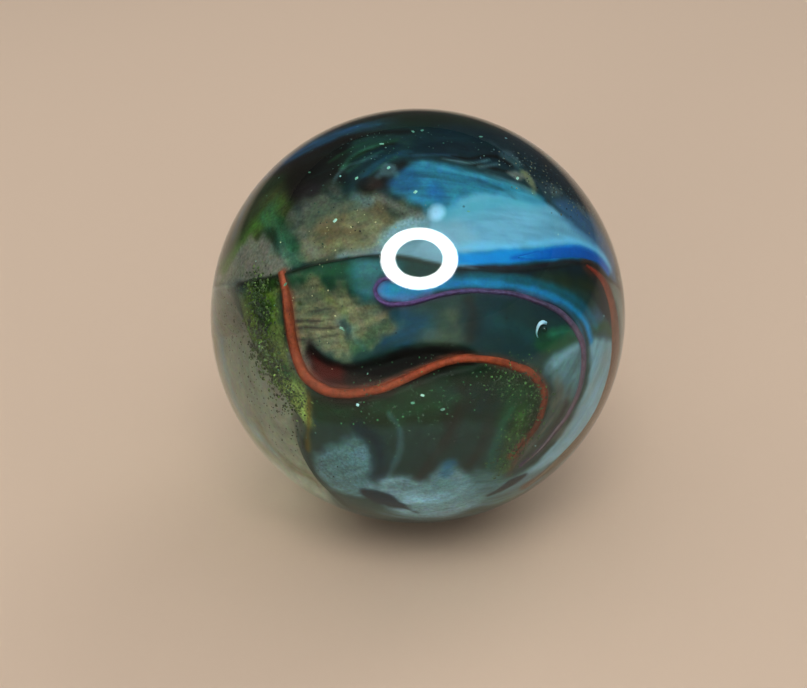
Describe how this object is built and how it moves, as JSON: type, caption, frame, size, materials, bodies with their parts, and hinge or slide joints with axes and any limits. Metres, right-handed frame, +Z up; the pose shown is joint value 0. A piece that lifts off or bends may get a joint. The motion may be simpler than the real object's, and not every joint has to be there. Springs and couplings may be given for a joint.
{
  "type": "glass marble",
  "caption": "Solid glass ball with coloured glass ribbons swirled through a clear body, for play or display in a small ring or claw stand.",
  "frame": {"origin": "centre of the ball", "axes": "+Z up as the ball sits in a stand, -Y towards the viewer, who sees the S-shaped red ribbon from the front and above"},
  "size_m": [0.016, 0.016, 0.016],
  "materials": {
    "swirled_glass": "fire-polished gloss",
    "clear_glass": "fire-polished gloss",
    "green_glass": "dense coloured glass with glitter",
    "red_glass": "dense coloured glass",
    "blue_glass": "dense coloured glass",
    "purple_glass": "dense coloured glass",
    "glitter": "bright flakes"
  },
  "bodies": {
    "root": {"marble": "swirled_glass"}
  },
  "joints": []
}
